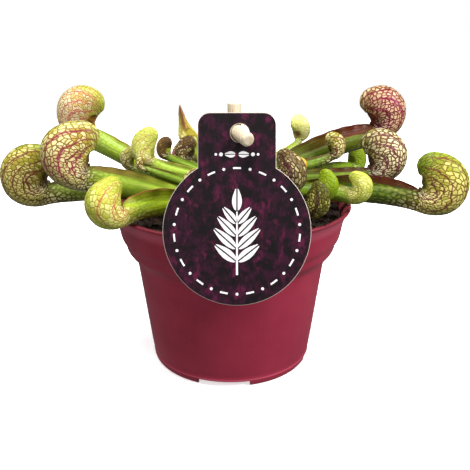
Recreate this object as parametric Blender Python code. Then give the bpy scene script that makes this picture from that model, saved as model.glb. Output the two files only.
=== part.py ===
"""A parrot pitcher plant in a round nursery pot, with a plant tag that leans on a wooden stick.

Sizes are in millimetres and are turned into metres where the meshes are made. The pot stands on z = 0 with its
axis on x = y = 0, and its front, where the tag is, faces -Y.
"""

import math
from collections import namedtuple

import bmesh
import bpy
from mathutils import Matrix, Vector, noise

MM = 0.001
GAP = 0.3

# Pot
RIM_RADIUS = 45.0
POT_HEIGHT = 61.9
UNDERSIDE = 2.3
FLOOR_TOP = 3.5
WALL = 1.2
POT_SIDES = 48
FOOT_INNER = 29.0
FOOT_OUTER = 30.4
FOOT_NOTCH_SIDES = 5
FOOT_COUNT = 4
NOTCH_AZIMUTH = 265.2
DRAIN_RADIUS = 3.0
DRAIN_REACH = 23.0
# Radius and height of the pot's outside, from the bottom of the wall up to the lip
POT_OUTSIDE = (
    (30.6, UNDERSIDE),
    (31.3, 6.0),
    (35.4, 38.0),
    (36.0, 41.8),
    (39.3, 45.3),
    (39.9, 48.4),
    (41.2, 50.2),
    (42.5, 57.6),
    (44.2, 60.4),
    (RIM_RADIUS, 61.2),
    (44.6, POT_HEIGHT),
)

# Soil
SOIL_LEVEL = 57.0
SOIL_LUMPS = 1.1
SOIL_LUMP_SIZE = 6.0
SOIL_SIDES = 24
SOIL_RINGS = (14.0, 21.0, 28.0, 35.0)

# Crown, a ball whose lower part stands in the soil
CROWN_RADIUS = 9.5
CROWN_CENTRE = 57.0
CROWN_BOTTOM = 51.0
CROWN_SIDES = 16

# Pitcher leaves. A leaf starts square to the crown, at one of these angles up from level
RING_ANGLES = {"low": 22.0, "middle": 44.0, "high": 66.0}
LEAF_BASE_DEPTH = 2.7
LEAF_BASE_WIDTH = 2.1
TUBE_WIDTH_SHARE = 0.82
WING_THICKNESS = 0.8
WING_SKEW = 1.4
HOOD_PEAK = 24.0
HOOD_SPREAD = 1.1
HOOD_DROOP = 0.33
HOOD_SIDE_SHARE = 0.29
MOUTH_GAP = 0.7
BEAK_SWEEP = 36.0
BEAK_REACH = 0.76
BEAK_BLUNT = 0.98
LINE_PULL = 0.75
SWING = 0.6
BEAK_TIP_SHARE = 0.05
HORN_SLIMNESS = 0.62
HORN_LEAN = -0.20

Pitcher = namedtuple(
    "Pitcher",
    "name ring start azimuth reach height size pitch tube curl colour wing horn",
    defaults=(0.22, 0),
)
# start and azimuth: degrees round the pot where the leaf leaves the crown and where its mouth is, 0 at +X.
# reach and height: the notch of the mouth, from the pot's axis and from the table. size: the hood's longest
# radius from that notch. pitch: how steeply the tube rises as it meets the hood. tube: the tube's depth there
# as a share of size. curl: how far round the hood's tip comes. colour: its main colour. wing: how high the fin on
# the tube's upper side stands, as a share of size. horn: 1 for a slender tip that leans to one side.
PITCHERS = (
    # Right
    Pitcher("pitcher_right_low", "low", -2, -3, 69.8, 67.0, 18.0, -12, 0.45, 112, "red", 0.22),
    Pitcher("pitcher_right_middle", "middle", 4, 8, 53.2, 72.8, 16.5, 12, 0.38, 98, "red", 0.11),
    Pitcher("pitcher_right_top", "middle", 28, 22, 60.3, 87.2, 16.2, 22, 0.50, 103, "purple", 0.26),
    Pitcher("pitcher_right_inner", "high", 6, 14, 38.6, 78.0, 8.3, 30, 0.42, 75, "red", 0.14),
    Pitcher("pitcher_right_lime", "low", -23, -20, 44.5, 70.5, 8.0, -10, 0.72, 108, "lime"),
    Pitcher("pitcher_right_green", "middle", -39, -30, 33.8, 71.5, 8.5, -8, 0.66, 80, "green"),
    Pitcher("pitcher_right_tip", "middle", -17, -25, 26.5, 77.0, 3.8, 40, 0.60, 60, "straw"),
    Pitcher("pitcher_front_right", "low", -50, -46, 35.1, 70.5, 10.4, -30, 0.60, 80, "red"),
    Pitcher("pitcher_front_tag", "middle", -64, -56, 30.0, 76.4, 11.4, 10, 0.45, 95, "red"),
    # Front, behind the tag
    Pitcher("pitcher_front_a", "low", -78, -74, 25.0, 66.0, 7.0, 10, 0.50, 95, "green"),
    Pitcher("pitcher_front_b", "low", -104, -106, 26.0, 66.0, 7.5, 5, 0.50, 95, "lime"),
    Pitcher("pitcher_front_left", "middle", -112, -121, 23.0, 73.2, 6.0, 15, 0.45, 90, "red"),
    Pitcher("pitcher_left_front", "low", 232, 222, 47.5, 69.0, 12.6, -10, 0.56, 104, "lime", 0.30),
    # Left
    Pitcher("pitcher_left_middle", "low", 204, 192, 50.8, 77.0, 18.4, 14, 0.50, 97, "red", 0.14),
    Pitcher("pitcher_left_tip", "middle", 196, 184, 31.5, 75.6, 4.0, 20, 0.60, 70, "lime"),
    Pitcher("pitcher_left_low", "low", 181, 178, 68.9, 67.9, 18.6, -6, 0.43, 116, "red", 0.14),
    Pitcher("pitcher_left_thumb", "high", 192, 175, 28.4, 77.5, 11.6, 38, 0.42, 62, "lime", 0.10),
    Pitcher("pitcher_left_small", "middle", 170, 167, 37.8, 73.9, 7.0, 30, 0.50, 66, "lime", 0.10),
    Pitcher("pitcher_left_top", "low", 160, 156, 61.2, 86.0, 17.6, 22, 0.52, 108, "lime", 0.08),
    # Back
    Pitcher("pitcher_back_cap", "high", 156, 144, 30.2, 76.1, 7.3, 20, 0.42, 90, "red", 0.12),
    Pitcher("pitcher_back_veined", "high", 122, 131, 23.6, 74.2, 9.4, 25, 0.44, 85, "red", 0.12),
    Pitcher("pitcher_back_tall", "middle", 116, 118, 32.4, 80.4, 16.2, 58, 0.36, 8, "straw", 0.12, 1),
    Pitcher("pitcher_back_hook", "high", 45, 50, 42.8, 79.9, 9.8, 55, 0.40, 74, "straw", 0.14),
    Pitcher("pitcher_back_point", "high", 78, 71, 36.0, 78.0, 6.0, 60, 0.50, 50, "green", 0.14),
    Pitcher("pitcher_back_a", "low", 22, 35, 62.0, 68.6, 9.5, -6, 0.45, 104, "lime"),
    Pitcher("pitcher_back_b", "low", 50, 56, 46.0, 67.5, 11.0, -8, 0.45, 104, "red"),
    Pitcher("pitcher_back_c", "low", 76, 76, 43.0, 68.0, 11.0, -8, 0.45, 106, "lime"),
    Pitcher("pitcher_back_d", "low", 99, 96, 42.0, 67.8, 11.0, -6, 0.45, 104, "red"),
    Pitcher("pitcher_back_e", "low", 119, 116, 46.0, 67.5, 11.0, -8, 0.45, 106, "purple"),
    Pitcher("pitcher_back_f", "low", 139, 137, 46.0, 67.5, 11.0, -8, 0.45, 104, "red"),
    Pitcher("pitcher_back_g", "middle", 94, 94, 26.0, 77.0, 9.0, 25, 0.50, 95, "green"),
)

# Tag: a card disc with a tab above it, leaning back
TAG_RADIUS = 22.9
TAG_THICKNESS = 0.8
TAG_CENTRE = (2.2, -44.8, 64.3)
TAG_LEAN = 18.5
TAB_WIDTH = 24.2
TAB_TOP = 36.5
TAB_CORNER = 3.8
TAG_HOLE_RADIUS = 2.9
TAG_HOLE_OFFSET = 0.9
TAG_HOLE_HEIGHT = 30.2

# Wooden stick, with a peg on its side that pokes out through the tag's hole
STICK_RADIUS = 2.1
STICK_FOOT = (3.0, -34.6, 48.0)
STICK_TOP = (1.3, -29.9, 101.5)
PEG_RADIUS = 1.8
PEG_ROOT = (1.1, -31.0, 93.1)
PEG_END = (5.9, -41.1, 92.5)


def cleared_scene():
    for existing in list(bpy.data.objects):
        bpy.data.objects.remove(existing, do_unlink=True)


def material(name, colour, roughness):
    made = bpy.data.materials.new(name)
    made.use_nodes = True
    shader = made.node_tree.nodes["Principled BSDF"]
    shader.inputs["Base Color"].default_value = (*colour, 1.0)
    shader.inputs["Roughness"].default_value = roughness
    made.diffuse_color = (*colour, 1.0)
    return made


def object_from(name, work, finish):
    """The bmesh, drawn in millimetres, as an object in metres, shaded smooth except at sharp edges."""
    bmesh.ops.scale(work, vec=(MM, MM, MM), verts=work.verts)
    bmesh.ops.recalc_face_normals(work, faces=work.faces)
    mesh = bpy.data.meshes.new(name)
    work.to_mesh(mesh)
    work.free()
    mesh.shade_smooth()
    mesh.set_sharp_from_angle(angle=math.radians(40))
    mesh.materials.append(finish)
    made = bpy.data.objects.new(name, mesh)
    bpy.context.scene.collection.objects.link(made)
    return made


def helper_from(name, work):
    """A hidden shape that a Boolean cuts with or adds."""
    made = object_from(name, work, material(name, (0.5, 0.5, 0.5), 0.5))
    made.hide_render = True
    made.display_type = "WIRE"
    return made


def combine(target, helper, operation):
    boolean = target.modifiers.new(helper.name, "BOOLEAN")
    boolean.operation = operation
    boolean.solver = "EXACT"
    boolean.object = helper


def polar(radius, azimuth, height):
    angle = math.radians(azimuth)
    return Vector((radius * math.cos(angle), radius * math.sin(angle), height))


def bridge(work, lower, upper):
    """A strip of quads between two closed loops of as many vertices."""
    count = len(lower)
    for i in range(count):
        j = (i + 1) % count
        work.faces.new((lower[i], lower[j], upper[j], upper[i]))


def turned(profile, sides, first_azimuth):
    """A closed solid of revolution. The profile starts and ends on the axis."""
    work = bmesh.new()
    loops = []
    for radius, height in profile[1:-1]:
        loops.append(
            [
                work.verts.new(polar(radius, first_azimuth + 360 * k / sides, height))
                for k in range(sides)
            ]
        )
    for lower, upper in zip(loops, loops[1:]):
        bridge(work, lower, upper)
    for loop, (_, height) in ((loops[0], profile[0]), (loops[-1], profile[-1])):
        pole = work.verts.new((0, 0, height))
        for i in range(sides):
            work.faces.new((loop[i], loop[(i + 1) % sides], pole))
    return work


def pot():
    first = NOTCH_AZIMUTH - 180 * FOOT_NOTCH_SIDES / POT_SIDES
    inside = [(r - WALL, z) for r, z in reversed(POT_OUTSIDE) if z > FLOOR_TOP]
    profile = [(0, UNDERSIDE), (FOOT_INNER, UNDERSIDE), (FOOT_OUTER, UNDERSIDE)]
    profile += [*POT_OUTSIDE, *inside, (FOOT_INNER, FLOOR_TOP), (0, FLOOR_TOP)]
    work = turned(profile, POT_SIDES, first)
    extrude_foot(work, first)
    made = object_from("pot", work, material("crimson plastic", (0.33, 0.03, 0.06), 0.38))
    drains = bmesh.new()
    for k in range(FOOT_COUNT):
        place = polar(DRAIN_REACH, NOTCH_AZIMUTH + 360 * k / FOOT_COUNT, FLOOR_TOP)
        bmesh.ops.create_cone(
            drains,
            cap_ends=True,
            segments=12,
            radius1=DRAIN_RADIUS,
            radius2=DRAIN_RADIUS,
            depth=4 * WALL,
            matrix=Matrix.Translation(place),
        )
    combine(made, helper_from("drain_cutter", drains), "DIFFERENCE")


def extrude_foot(work, first):
    """Draws the foot ring down to the table, except at the notches."""
    work.verts.ensure_lookup_table()
    work.faces.ensure_lookup_table()
    sides_each = POT_SIDES // FOOT_COUNT
    ring = [
        face
        for face in work.faces
        if len(face.verts) == 4
        and all(abs(vert.co.z - UNDERSIDE) < 0.01 for vert in face.verts)
        and all(FOOT_INNER - 0.1 < vert.co.xy.length < FOOT_OUTER + 0.1 for vert in face.verts)
    ]
    foot = []
    for face in ring:
        centre = face.calc_center_median()
        azimuth = math.degrees(math.atan2(centre.y, centre.x)) - first
        if int(azimuth % 360 * POT_SIDES / 360) % sides_each >= FOOT_NOTCH_SIDES:
            foot.append(face)
    extruded = bmesh.ops.extrude_face_region(work, geom=foot)
    for item in extruded["geom"]:
        if isinstance(item, bmesh.types.BMVert):
            item.co.z = 0
    bmesh.ops.delete(work, geom=foot, context="FACES_ONLY")


def soil_height(radius, azimuth):
    place = polar(radius, azimuth, 0) / SOIL_LUMP_SIZE
    return SOIL_LEVEL + SOIL_LUMPS * noise.noise(place)


def soil():
    first = NOTCH_AZIMUTH - 180 * FOOT_NOTCH_SIDES / POT_SIDES
    work = bmesh.new()
    hole = CROWN_RADIUS + 2 * GAP

    def loop(radius, height):
        corners = []
        for k in range(SOIL_SIDES):
            azimuth = first + 360 * k / SOIL_SIDES
            level = soil_height(radius, azimuth) if height is None else height
            corners.append(work.verts.new(polar(radius, azimuth, level)))
        return corners

    wall = [(r - WALL - 2 * GAP, z) for r, z in POT_OUTSIDE if FLOOR_TOP < z < SOIL_LEVEL]
    loops = [loop(FOOT_INNER - 2 * GAP, FLOOR_TOP + GAP)]
    loops += [loop(radius, height) for radius, height in wall[:-1]]
    loops += [loop(radius, None) for radius in (wall[-1][0], *reversed(SOIL_RINGS), hole)]
    loops.append(loop(hole, CROWN_BOTTOM - GAP))
    for lower, upper in zip(loops, loops[1:]):
        bridge(work, lower, upper)
    for ends in (loops[0], loops[-1]):
        work.faces.new(ends)
    made = object_from("soil", work, material("peat", (0.03, 0.02, 0.012), 0.95))
    foot, top = Vector(STICK_FOOT), Vector(STICK_TOP)
    hole_work = rod(foot - 0.02 * (top - foot), top, STICK_RADIUS + 1.5 * GAP, 0)
    combine(made, helper_from("stick_hole_cutter", hole_work), "DIFFERENCE")


def rod(start, end, radius, rounding):
    """A straight round bar, its far end rounded off by that much."""
    line = end - start
    profile = [(0, 0), (radius, 0), (radius, line.length - rounding)]
    if rounding:
        profile.append((radius - 0.3 * rounding, line.length - 0.3 * rounding))
        profile.append((radius - rounding, line.length))
    profile.append((0, line.length))
    work = turned(profile, 12, 0)
    turn = line.to_track_quat("Z", "Y").to_matrix().to_4x4()
    bmesh.ops.transform(work, matrix=Matrix.Translation(start) @ turn, verts=work.verts)
    return work


def crown():
    profile = [(0, CROWN_BOTTOM)]
    lowest = math.degrees(math.asin((CROWN_BOTTOM - CROWN_CENTRE) / CROWN_RADIUS))
    for k in range(8):
        angle = math.radians(lowest + k * (80 - lowest) / 7)
        height = CROWN_CENTRE + CROWN_RADIUS * math.sin(angle)
        profile.append((CROWN_RADIUS * math.cos(angle), height))
    profile.append((0, CROWN_CENTRE + CROWN_RADIUS))
    work = turned(profile, CROWN_SIDES, 0)
    object_from("crown", work, material("rhizome", (0.10, 0.07, 0.03), 0.8))


def smooth(t):
    return t * t * (3 - 2 * t)


def up_from(line):
    """Up, square to a line."""
    return (Vector((0, 0, 1)) - line * line.z).normalized()


class Leaf:
    """The curved line of one pitcher leaf, and the size of its section along the tube and round the hood."""

    def __init__(self, spec):
        self.spec = spec
        self.depth = spec.tube * spec.size
        ring = math.radians(RING_ANGLES[spec.ring])
        out = polar(1, spec.start, 0)
        self.start_line = out * math.cos(ring) + Vector((0, 0, math.sin(ring)))
        centre = Vector((0, 0, CROWN_CENTRE))
        self.start = centre + self.start_line * (CROWN_RADIUS + GAP)
        pitch = math.radians(spec.pitch)
        heading = polar(1, spec.azimuth + SWING * (spec.azimuth - spec.start), 0)
        self.end_line = heading * math.cos(pitch) + Vector((0, 0, math.sin(pitch)))
        self.notch = polar(spec.reach, spec.azimuth, spec.height)
        self.end_up = up_from(self.end_line)
        self.end = self.notch - self.end_up * self.depth / 2

    def point(self, t):
        """Place and direction along the tube, from 0 at the crown to 1 at the mouth."""
        pull = LINE_PULL * (self.end - self.start).length
        a, b = self.start, self.end
        da, db = self.start_line * pull, self.end_line * pull
        t2, t3 = t * t, t * t * t
        place = a * (2 * t3 - 3 * t2 + 1) + da * (t3 - 2 * t2 + t) + b * (3 * t2 - 2 * t3) + db * (t3 - t2)
        line = a * (6 * t2 - 6 * t) + da * (3 * t2 - 4 * t + 1) + b * (6 * t - 6 * t2) + db * (3 * t2 - 2 * t)
        return place, line.normalized()

    def tube_section(self, t):
        """Top of the section, its up, its side, and its depth, half width and wing height."""
        place, line = self.point(t)
        up = up_from(line)
        depth = LEAF_BASE_DEPTH + (self.depth - LEAF_BASE_DEPTH) * t**0.85
        half = (LEAF_BASE_WIDTH + (TUBE_WIDTH_SHARE * self.depth - LEAF_BASE_WIDTH) * t**0.85) / 2
        wing = self.spec.wing * self.spec.size * math.sin(math.pi * t**WING_SKEW) ** 0.8
        return place + up * depth / 2, up, line.cross(up), 0, depth, half, wing

    def hood_section(self, t):
        """The same, for a slice of the hood that fans round the notch, from 0 at the tube to 1 at the tip."""
        size, tube = self.spec.size, self.spec.tube
        turn = -90 + (self.spec.curl + 90) * t
        angle = math.radians(turn)
        away = self.end_line * math.cos(angle) + self.end_up * math.sin(angle)
        if turn < HOOD_PEAK:
            outer = size * (tube + (1 - tube) * smooth((turn + 90) / (HOOD_PEAK + 90)))
        else:
            outer = size * (1 - HOOD_DROOP * (1 - math.cos(math.radians(HOOD_SPREAD * (turn - HOOD_PEAK)))))
        inner = MOUTH_GAP * min(1, 6 * t)
        shut = min(1, max(0, (turn - self.spec.curl) / BEAK_SWEEP + 1)) * BEAK_BLUNT
        middle = (inner + outer) / 2
        middle += (BEAK_REACH * outer - middle) * shut**1.3
        reach = (outer - inner) / 2 * math.sqrt(1 - shut**2)
        half = TUBE_WIDTH_SHARE * self.depth / 2 * (1 - t)
        half += HOOD_SIDE_SHARE * size * math.sin(math.pi * t) ** 0.8
        half = half * math.sqrt(1 - shut**4) + BEAK_TIP_SHARE * size * t
        half *= 1 - HORN_SLIMNESS * self.spec.horn * t
        side = self.end_line.cross(self.end_up)
        fan = self.notch + side * HORN_LEAN * self.spec.horn * size * t**3
        return fan, -away, side, middle - reach, 2 * reach, half, 0

    def ring(self, section, sides):
        """Points round one section: two on the edge of the wing, the rest on an ellipse."""
        top, up, side, inset, depth, half, wing = section
        edge = min(WING_THICKNESS / 2, 0.5 * half)
        lift = depth / 2 * (math.sqrt(max(0, 1 - (edge / half) ** 2)) - 1)
        points = [top + side * edge + up * (wing + lift - inset)]
        count = sides - 2
        for k in range(count):
            angle = math.radians(66 - k * 312 / (count - 1))
            across = side * half * math.cos(angle)
            points.append(top + across + up * (depth / 2 * (math.sin(angle) - 1) - inset))
        points.append(top - side * edge + up * (wing + lift - inset))
        return points


def pitcher(spec):
    leaf = Leaf(spec)
    large = spec.size > 11.2
    sides = 12 if large else 10 if spec.size > 8 else 8
    tube_steps = 7 if large else 5
    hood_steps = 9 if large else 7
    sections = [leaf.tube_section(k / tube_steps) for k in range(tube_steps + 1)]
    sections += [leaf.hood_section(1 - (1 - k / hood_steps) ** 1.3) for k in range(1, hood_steps + 1)]
    work = bmesh.new()
    loops = [[work.verts.new(p) for p in leaf.ring(section, sides)] for section in sections]
    for lower, upper in zip(loops, loops[1:]):
        bridge(work, lower, upper)
    work.faces.new(loops[0])
    work.faces.new(loops[-1])
    colours = {
        "red": (0.30, 0.06, 0.05),
        "purple": (0.22, 0.03, 0.06),
        "lime": (0.42, 0.48, 0.08),
        "green": (0.20, 0.30, 0.05),
        "straw": (0.55, 0.50, 0.18),
    }
    object_from(spec.name, work, material(spec.name, colours[spec.colour], 0.4))


def tag_matrix():
    """The tag's own plane: x across, y up along the card, z out of its front."""
    lean = Matrix.Rotation(math.radians(90 - TAG_LEAN), 4, "X")
    return Matrix.Translation(TAG_CENTRE) @ lean


def tag():
    outline = []
    shoulder = math.asin(TAB_WIDTH / 2 / TAG_RADIUS)
    steps = 40
    for k in range(steps + 1):
        angle = math.pi / 2 - shoulder - k * (2 * math.pi - 2 * shoulder) / steps
        outline.append((TAG_RADIUS * math.cos(angle), TAG_RADIUS * math.sin(angle)))
    corner = TAB_WIDTH / 2 - TAB_CORNER
    for first, sign in ((180, -1), (90, 1)):
        for k in range(5):
            angle = math.radians(first - 90 * k / 4)
            x = sign * corner + TAB_CORNER * math.cos(angle)
            outline.append((x, TAB_TOP - TAB_CORNER + TAB_CORNER * math.sin(angle)))
    work = bmesh.new()
    back = work.faces.new([work.verts.new((x, y, -TAG_THICKNESS / 2)) for x, y in outline])
    extruded = bmesh.ops.extrude_face_region(work, geom=[back])
    raised = [item for item in extruded["geom"] if isinstance(item, bmesh.types.BMVert)]
    bmesh.ops.translate(work, vec=(0, 0, TAG_THICKNESS), verts=raised)
    bmesh.ops.transform(work, matrix=tag_matrix(), verts=work.verts)
    made = object_from("tag", work, material("printed card", (0.05, 0.01, 0.03), 0.5))
    hole = bmesh.new()
    bmesh.ops.create_cone(
        hole,
        cap_ends=True,
        segments=24,
        radius1=TAG_HOLE_RADIUS,
        radius2=TAG_HOLE_RADIUS,
        depth=4,
        matrix=tag_matrix() @ Matrix.Translation((TAG_HOLE_OFFSET, TAG_HOLE_HEIGHT, 0)),
    )
    combine(made, helper_from("tag_hole_cutter", hole), "DIFFERENCE")


def wooden_stick():
    work = rod(Vector(STICK_FOOT), Vector(STICK_TOP), STICK_RADIUS, 0.3)
    made = object_from("wooden_stick", work, material("peeled wood", (0.62, 0.48, 0.30), 0.7))
    peg = rod(Vector(PEG_ROOT), Vector(PEG_END), PEG_RADIUS, 0.9)
    combine(made, helper_from("peg", peg), "UNION")


cleared_scene()
pot()
soil()
crown()
for one in PITCHERS:
    pitcher(one)
tag()
wooden_stick()
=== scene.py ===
"""The looks of the potted parrot pitcher plant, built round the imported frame.

The shapes are worked out in millimetres in the frame's own axes, and become metres where the meshes are made.
"""

import math
import random
from collections import namedtuple

import bmesh
import bpy
import numpy as np
from mathutils import Matrix, Vector, noise


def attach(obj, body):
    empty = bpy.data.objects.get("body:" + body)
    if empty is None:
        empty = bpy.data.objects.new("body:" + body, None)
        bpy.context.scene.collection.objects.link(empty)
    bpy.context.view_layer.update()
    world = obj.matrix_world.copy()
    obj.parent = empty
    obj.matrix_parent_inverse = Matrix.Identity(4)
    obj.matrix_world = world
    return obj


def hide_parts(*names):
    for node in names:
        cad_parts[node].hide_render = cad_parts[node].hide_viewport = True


MM = 0.001
BODY = "root"
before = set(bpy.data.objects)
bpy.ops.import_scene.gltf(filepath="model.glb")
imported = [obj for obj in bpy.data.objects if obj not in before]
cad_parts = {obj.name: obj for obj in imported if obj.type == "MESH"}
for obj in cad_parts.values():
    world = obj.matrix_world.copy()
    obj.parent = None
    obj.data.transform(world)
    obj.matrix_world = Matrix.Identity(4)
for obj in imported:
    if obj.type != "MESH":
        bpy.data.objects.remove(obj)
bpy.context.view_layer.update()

# Camera, fitted to the photograph's pot
CAMERA_PLACE = (1.6, -227.6, 124.2)
CAMERA_DOWN = 18.5
CAMERA_LENS = 47.8

# Pot
POT_HEIGHT = 61.9
UNDERSIDE = 2.3
FLOOR_TOP = 3.5
WALL = 1.2
POT_SIDES = 192
BEND_SHARE = 0.3
BEND_REACH = 0.8
FOOT_INNER = 29.0
FOOT_OUTER = 30.86
FOOT_ROUNDING = ((1.5, 30.75), (0.8, 30.5), (0.3, 30.15), (0.0, 29.7))
FOOT_NOTCH_SIDES = 20
FOOT_COUNT = 4
NOTCH_AZIMUTH = 265.2
DRAIN_RADIUS = 3.0
DRAIN_REACH = 23.0
INNER_WALL_SLOPE = 0.607
POT_OUTSIDE = (
    (30.6, UNDERSIDE),
    (31.3, 6.0),
    (35.4, 38.0),
    (36.0, 41.8),
    (39.3, 45.3),
    (39.9, 48.4),
    (41.2, 50.2),
    (42.5, 57.6),
    (44.2, 60.4),
    (45.0, 61.2),
    (44.6, POT_HEIGHT),
)

# Soil
SOIL_LEVEL = 57.0
SOIL_LUMPS = 1.1
SOIL_LUMP_SIZE = 6.0
SOIL_BANK = 1.8
BANK_START = 24.0
BANK_END = 39.0
SOIL_INNER = 5.0
SOIL_RADIUS = 40.9
SOIL_SIDES = 220
SOIL_RINGS = 64
CRUMBS = 1700
LIP_CRUMBS = 22
FIBRES = 230

# Crown
CROWN_RADIUS = 9.5
CROWN_CENTRE = 57.0

# Leaves: the measures of the solids, with a slightly slimmer horn, and those of the finer form and its net
GAP = 0.3
RING_ANGLES = {"low": 22.0, "middle": 44.0, "high": 66.0}
LEAF_BASE_DEPTH = 2.7
LEAF_BASE_WIDTH = 2.1
TUBE_WIDTH_SHARE = 0.82
WING_SKEW = 1.4
HOOD_PEAK = 24.0
HOOD_SPREAD = 1.1
HOOD_DROOP = 0.33
HOOD_SIDE_SHARE = 0.29
MOUTH_GAP = 0.7
BEAK_SWEEP = 36.0
BEAK_REACH = 0.76
BEAK_BLUNT = 0.98
LINE_PULL = 0.75
SWING = 0.6
BEAK_TIP_SHARE = 0.05
HORN_SLIMNESS = 0.72
HORN_LEAN = -0.20
WING_EDGE = 0.28
WING_FULL = 1.2
WING_FOOT = 66.0
WING_POINTS = 6
SHEATH_END = 0.16
NET_ALONG_HOOD = 0.54
NET_ALONG_NOTCH = 0.27
NET_BORDER = 0.60
MOUTH_BACK = 24.0
MOUTH_SHARE = 0.24
SWELL = 0.35
SWELL_SIZE = 9.0

# From each size of hood on: the points of half a section, and the slices of the tube and of the hood
LEAF_DETAIL = ((11.2, (30, 56, 84)), (8.0, (22, 44, 60)), (0.0, (18, 36, 44)))

Pitcher = namedtuple(
    "Pitcher",
    "name ring start azimuth reach height size pitch tube curl slot look wing horn",
    defaults=(0.22, 0),
)
PITCHERS = (
    Pitcher("right_low", "low", -2, -3, 69.8, 67.0, 18.0, -12, 0.45, 112, "red", "citron", 0.22),
    Pitcher("right_middle", "middle", 4, 8, 53.2, 72.8, 16.5, 12, 0.38, 98, "red", "netted", 0.11),
    Pitcher("right_top", "middle", 28, 22, 60.3, 87.2, 16.2, 22, 0.50, 103, "purple", "crimson", 0.26),
    Pitcher("right_inner", "high", 6, 14, 38.6, 78.0, 8.3, 30, 0.42, 75, "red", "netted_small", 0.14),
    Pitcher("right_lime", "low", -23, -20, 44.5, 70.5, 8.0, -10, 0.72, 108, "lime", "lime"),
    Pitcher("right_green", "middle", -39, -30, 33.8, 71.5, 8.5, -8, 0.66, 80, "green", "fresh"),
    Pitcher("right_tip", "middle", -17, -25, 26.5, 77.0, 3.8, 40, 0.60, 60, "straw", "amber"),
    Pitcher("front_right", "low", -50, -46, 35.1, 70.5, 10.4, -30, 0.60, 80, "red", "moss"),
    Pitcher("front_tag", "middle", -64, -56, 30.0, 76.4, 11.4, 10, 0.45, 95, "red", "dusky"),
    Pitcher("front_a", "low", -78, -74, 25.0, 66.0, 7.0, 10, 0.50, 95, "green", "fresh"),
    Pitcher("front_b", "low", -104, -106, 26.0, 66.0, 7.5, 5, 0.50, 95, "lime", "lime"),
    Pitcher("front_left", "middle", -112, -121, 23.0, 73.2, 6.0, 15, 0.45, 90, "red", "netted_small"),
    Pitcher("left_front", "low", 232, 222, 47.5, 69.0, 12.6, -10, 0.56, 104, "lime", "primrose", 0.30),
    Pitcher("left_middle", "low", 204, 192, 50.8, 77.0, 18.4, 14, 0.50, 97, "red", "blushed", 0.14),
    Pitcher("left_tip", "middle", 196, 184, 31.5, 75.6, 4.0, 20, 0.60, 70, "lime", "netted_small"),
    Pitcher("left_low", "low", 181, 178, 68.9, 67.9, 18.6, -6, 0.43, 116, "red", "olive", 0.14),
    Pitcher("left_thumb", "high", 192, 175, 28.4, 77.5, 11.6, 38, 0.42, 62, "lime", "primrose_small", 0.10),
    Pitcher("left_small", "middle", 170, 167, 37.8, 73.9, 7.0, 30, 0.50, 66, "lime", "pale_small", 0.10),
    Pitcher("left_top", "low", 160, 156, 61.2, 86.0, 17.6, 22, 0.52, 108, "lime", "peach", 0.08),
    Pitcher("back_cap", "high", 156, 144, 30.2, 76.1, 7.3, 20, 0.42, 90, "red", "umber", 0.12),
    Pitcher("back_veined", "high", 122, 131, 23.6, 74.2, 9.4, 25, 0.44, 85, "red", "dusky", 0.12),
    Pitcher("back_tall", "middle", 116, 118, 32.4, 80.4, 16.2, 58, 0.36, 8, "straw", "straw", 0.12, 1),
    Pitcher("back_hook", "high", 45, 50, 42.8, 79.9, 9.8, 55, 0.40, 74, "straw", "cream", 0.14),
    Pitcher("back_point", "high", 78, 71, 36.0, 78.0, 6.0, 60, 0.50, 50, "green", "fresh", 0.14),
    Pitcher("back_a", "low", 22, 35, 62.0, 68.6, 9.5, -6, 0.45, 104, "lime", "fresh"),
    Pitcher("back_b", "low", 50, 56, 46.0, 67.5, 11.0, -8, 0.45, 104, "red", "netted"),
    Pitcher("back_c", "low", 76, 76, 43.0, 68.0, 11.0, -8, 0.45, 106, "lime", "primrose"),
    Pitcher("back_d", "low", 99, 96, 42.0, 67.8, 11.0, -6, 0.45, 104, "red", "olive"),
    Pitcher("back_e", "low", 119, 116, 46.0, 67.5, 11.0, -8, 0.45, 106, "purple", "crimson"),
    Pitcher("back_f", "low", 139, 137, 46.0, 67.5, 11.0, -8, 0.45, 104, "red", "blushed"),
    Pitcher("back_g", "middle", 94, 94, 26.0, 77.0, 9.0, 25, 0.50, 95, "green", "lime"),
)


def linear(colour):
    """An sRGB colour from 0 to 255, as linear light."""
    shares = (part / 255 for part in colour)
    return tuple(c / 12.92 if c <= 0.04045 else ((c + 0.055) / 1.055) ** 2.4 for c in shares)


def polar(radius, azimuth, height):
    angle = math.radians(azimuth)
    return Vector((radius * math.cos(angle), radius * math.sin(angle), height))


def round_point(x, y, radius, angle):
    """A flat point at a distance and an angle in radians from another."""
    return x + radius * math.cos(angle), y + radius * math.sin(angle)


def smooth(t):
    return t * t * (3 - 2 * t)


def ease(value, low, high):
    """0 at low, 1 at high and smooth between them."""
    return smooth(min(1.0, max(0.0, (value - low) / (high - low))))


def up_from(line):
    """Up, square to a line."""
    return (Vector((0, 0, 1)) - line * line.z).normalized()


class Value:
    """What a node puts out, which can be added, subtracted and multiplied like a number."""

    def __init__(self, graph, socket):
        self.graph = graph
        self.socket = socket

    def __add__(self, other):
        return self.graph.math("ADD", self, other)

    def __sub__(self, other):
        return self.graph.math("SUBTRACT", self, other)

    def __rsub__(self, other):
        return self.graph.math("SUBTRACT", other, self)

    def __mul__(self, other):
        return self.graph.math("MULTIPLY", self, other)

    def __abs__(self):
        return self.graph.math("ABSOLUTE", self)


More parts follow.
